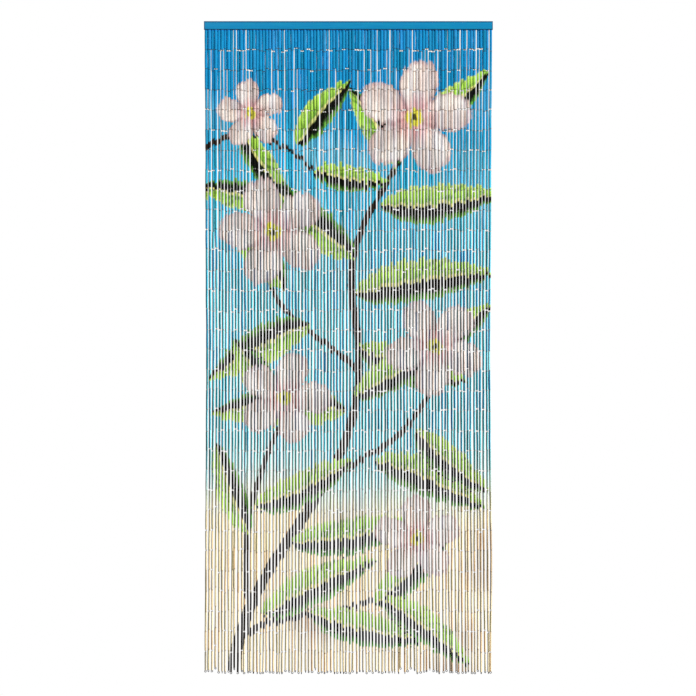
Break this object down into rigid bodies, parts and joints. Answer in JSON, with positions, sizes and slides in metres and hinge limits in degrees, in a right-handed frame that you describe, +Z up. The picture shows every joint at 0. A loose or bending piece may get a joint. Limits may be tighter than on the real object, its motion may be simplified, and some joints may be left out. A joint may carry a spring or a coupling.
{
  "type": "bead curtain on a wooden rail",
  "caption": "Doorway bead curtain: slim painted wooden rail with closely spaced hanging strands of painted cane tubes linked by wire, tapering towards a ragged lower edge.",
  "frame": {"origin": "centre of the rail's rear face, the face that is fastened to the wall over the doorway", "axes": "+Z up, strands hang towards -Z; -Y faces the viewer (painted side); +X to the viewer's right"},
  "size_m": [0.9, 0.012, 2.0356],
  "materials": {
    "rail_paint": "painted satin blue",
    "painted_cane": "painted cane, satin",
    "wire": "dark annealed steel wire"
  },
  "bodies": {
    "root": {"rail": "rail_paint", "strand_comb": "painted_cane"}
  },
  "joints": []
}
